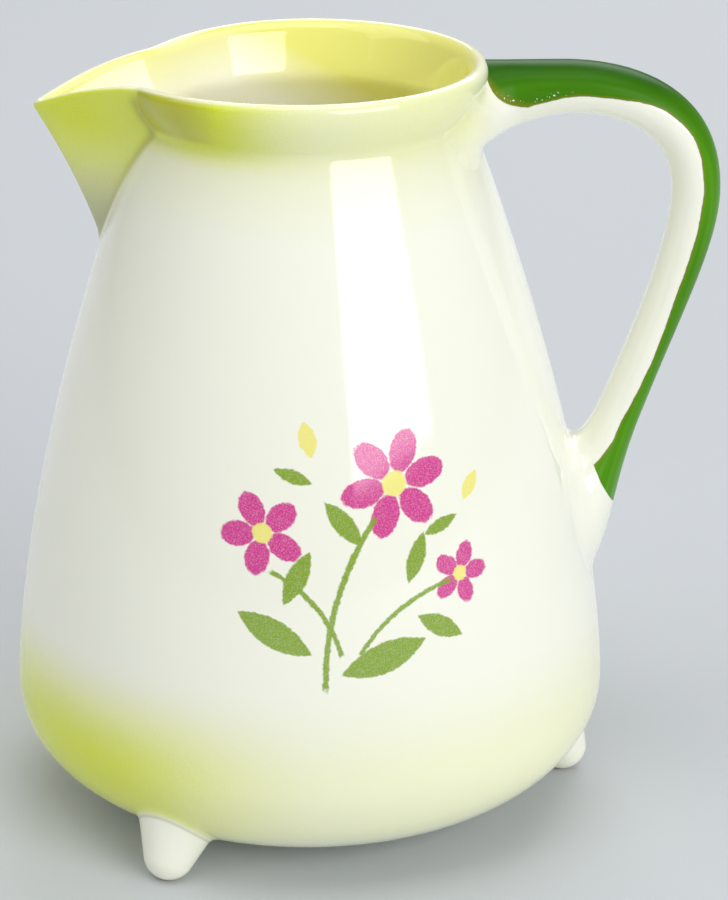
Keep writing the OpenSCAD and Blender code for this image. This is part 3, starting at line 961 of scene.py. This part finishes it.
def jugMaterial():
    material, add, shader, coords, inMm = startMaterial("glazed earthenware, sprayed")
    fromLip, onSpout, inCrease = (
        add("ShaderNodeAttribute", out="Fac", attribute_name=name)
        for name in ("fromLip", "onSpout", "inCrease")
    )
    handleward = add(splitNode, (inMm,))
    height = handleward.node.outputs["Z"]
    # Painted shade: a duller colour low on the spout's face
    paintedSpoutShade = add(rangeNode, (height, *jugGlaze["paintedSpoutShadeHeights"]), **smooth)
    within = add(rangeNode, (fromLip, *jugGlaze["inside"]), **smooth)
    face, sooner, creaseOlive, below, bare = (
        add(rangeNode, (value, *jugGlaze[zone]))
        for value, zone in (
            (onSpout, "face"), (handleward, "sooner"), (height, "creaseOliveHeights"), (fromLip, "creaseOliveBelowLip"),
            (handleward, "crestPaleSides"),
        )
    )
    paintedSpoutShade = add(mathNode, (paintedSpoutShade, face), operation="MULTIPLY")
    deep = add(mathNode, (sooner, fromLip), operation="SUBTRACT")
    deep = add(rangeNode, (deep, *jugGlaze["depths"]))
    inside = add(mixNode, {0: deep, 6: jugGlaze["insideYellow"], 7: jugGlaze["insidePale"]}, **inColour)
    # Darker olive in the spout's crease, near the collar
    for share in (below, inCrease):
        creaseOlive = add(mathNode, (creaseOlive, share), operation="MULTIPLY")
    # Paler crest of the lip: partly thin glaze, partly a painted highlight
    crest = add(mathNode, (fromLip, jugGlaze["crestAt"]), operation="SUBTRACT")
    crest = add(mathNode, (crest,), operation="ABSOLUTE")
    crest = add(rangeNode, (crest, *jugGlaze["crestFades"], bare, 0))
    colour = addSpray(add, coords, inMm, onSpout)
    for share, layer in (
        (paintedSpoutShade, jugGlaze["paintedSpoutShade"]), (within, inside), (creaseOlive, jugGlaze["creaseOlive"]), (crest, jugGlaze["lipPaleAndHighlight"]),
    ):
        colour = add(mixNode, {0: share, 6: colour, 7: layer}, **inColour)
    # Stencilled sprig: ragged, grainy edges and uneven strength
    rag, grain = (
        add(noiseNode, {"Vector": coords, "Scale": 1 / (sprig[size] * mm), "Detail": detail})
        for size, detail in (("rag", 2), ("grain", 1))
    )
    rag = add(mathNode, (rag, noiseMiddle), operation="SUBTRACT")
    strength = add(rangeNode, (grain, *sprig["grainSpan"], *sprig["grainCover"]))
    outside = add(mathNode, (fromLip, sprig["belowLip"]), operation="GREATER_THAN")
    halfEdge = sprig["edge"] / 2
    for name, field in addSprig(add).items():
        margin = add(mathNode, (rag, sprig["ragDepth"] * 2, field), operation="MULTIPLY_ADD")
        cover = add(rangeNode, (margin, -halfEdge, halfEdge), **smooth)
        for share in (strength, outside):
            cover = add(mathNode, (cover, share), operation="MULTIPLY")
        colour = add(mixNode, {0: cover, 6: colour, 7: sprig[name]}, **inColour)
    finishGlaze(add, shader, coords, colour)
    return material


# Leaf-green brushed enamel on the handle's outer face: thick, with a ragged raised edge
enamel = dict(
    green="#549614", streakGreen="#4a880c", greenInShade="#235803", thinGreen="#85831a",
    roughness=0.32, shine=0.07, edge=0.35, thick=0.3,
    rag=12, ragDepth=0.7, nick=1.6, nickDepth=0.22,
    streakLength=40, streakWidth=1.6, streakSpan=(0.32, 0.68), legLength=55,
    thinWidths=(0.45, 0.7, 3.6, 0.9), thinCover=0.75,  # thinner along its edge: legs, and widths there in mm
    skipAndGlint=0.6, skipAndGlintSpan=(0.66, 0.7),  # cream specks near the root: gaps the brush missed, and painted glints,
    skipAndGlintFrom=(0.45, 0.9), skipAndGlintTo=(2.4, 1.6), skipAndGlintLegs=(1.05, 0.95),  # by mm from the edge, and by leg
)


def handleMaterial():
    material, add, shader, coords, inMm = startMaterial("glazed earthenware, enamelled green")
    margin, leg, turn, dark = (
        add("ShaderNodeAttribute", out="Fac", attribute_name=name)
        for name in ("paintMargin", "leg", "turn", "paintedShadeOnGreen")
    )
    rag, nick, skipAndGlint = (
        add(noiseNode, {"Vector": coords, "Scale": 1 / (enamel[size] * mm), "Detail": detail})
        for size, detail in (("rag", 2), ("nick", 2), ("skipAndGlint", 1))
    )
    for noise, depth in ((rag, enamel["ragDepth"]), (nick, enamel["nickDepth"])):
        swing = add(mathNode, (noise, noiseMiddle), operation="SUBTRACT")
        margin = add(mathNode, (swing, 2 * depth, margin), operation="MULTIPLY_ADD")
    halfEdge = enamel["edge"] / 2
    paint = add(rangeNode, (margin, -halfEdge, halfEdge), **smooth)
    # Brush streaks run along the grip
    lengthwise, crosswise = (
        add(mathNode, (way, size), operation="MULTIPLY")
        for way, size in (
            (leg, enamel["legLength"] / enamel["streakLength"]),
            (turn, paintEdge["sectionRadius"] / enamel["streakWidth"]),
        )
    )
    brush = add("ShaderNodeCombineXYZ", (lengthwise, crosswise))
    streak = add(noiseNode, {"Vector": brush, "Scale": 1, "Detail": 2})
    streak = add(rangeNode, (streak, *enamel["streakSpan"]))
    width = add(rangeNode, (leg, *enamel["thinWidths"]))
    thin = add(rangeNode, (margin, 0, width, enamel["thinCover"], 0))
    # Cream specks near the paint's edge: brush gaps, and painted glints
    skipAndGlint = add(rangeNode, (skipAndGlint, *enamel["skipAndGlintSpan"]))
    for value, zone in ((margin, "skipAndGlintFrom"), (margin, "skipAndGlintTo"), (leg, "skipAndGlintLegs")):
        near = add(rangeNode, (value, *enamel[zone]))
        skipAndGlint = add(mathNode, (skipAndGlint, near), operation="MULTIPLY")
    green = enamel["streakGreen"]
    for share, layer in (
        (streak, enamel["green"]), (dark, enamel["greenInShade"]), (thin, enamel["thinGreen"]),
        (skipAndGlint, glaze["cream"]),
    ):
        green = add(mixNode, {0: share, 6: green, 7: layer}, **inColour)
    sprayed = addSpray(add, coords, inMm)
    colour = add(mixNode, {0: paint, 6: sprayed, 7: green}, **inColour)
    finishGlaze(add, shader, coords, colour, paint)
    return material


# Feet: the same glaze, wiped off where they stand, with a dark line in the joint
toe = dict(
    bare="#d9cdb4", wiped=(1.2, 0.4),  # heights
    jointShade="#9b9d76", joint=1.1, jointFades=(0, 0.4, 0.4, 0), sprayFades=(1.3, 0),  # mm from the wall
)


def footMaterial():
    material, add, shader, coords, inMm = startMaterial("glazed earthenware, feet")
    offWall = add("ShaderNodeAttribute", out="Fac", attribute_name="offWall")
    height = add(splitNode, (inMm,), out="Z")
    sprayed = add(rangeNode, (offWall, *toe["sprayFades"]), **smooth)
    joint = add(mathNode, (offWall, toe["joint"]), operation="SUBTRACT")
    joint = add(mathNode, (joint,), operation="ABSOLUTE")
    joint = add(rangeNode, (joint, *toe["jointFades"]))
    bare = add(rangeNode, (height, *toe["wiped"]))
    colour = glaze["cream"]
    for share, layer in (
        (sprayed, addSpray(add, coords, inMm)), (joint, toe["jointShade"]), (bare, toe["bare"]),
    ):
        colour = add(mixNode, {0: share, 6: colour, 7: layer}, **inColour)
    finishGlaze(add, shader, coords, colour)
    return material


body = makeJug()
body.data.materials.append(jugMaterial())
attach(body, "root")
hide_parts("body", "spout")
print("body and spout:", len(body.data.polygons), "faces")

handle = makeHandle(handleMaterial())
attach(handle, "root")
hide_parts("handle")
print("handle:", len(handle.data.polygons), "faces")

feet = makeFeet(footMaterial())
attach(feet, "root")
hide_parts("foot_rear", "foot_left", "foot_right")
print("feet:", len(feet.data.polygons), "faces")
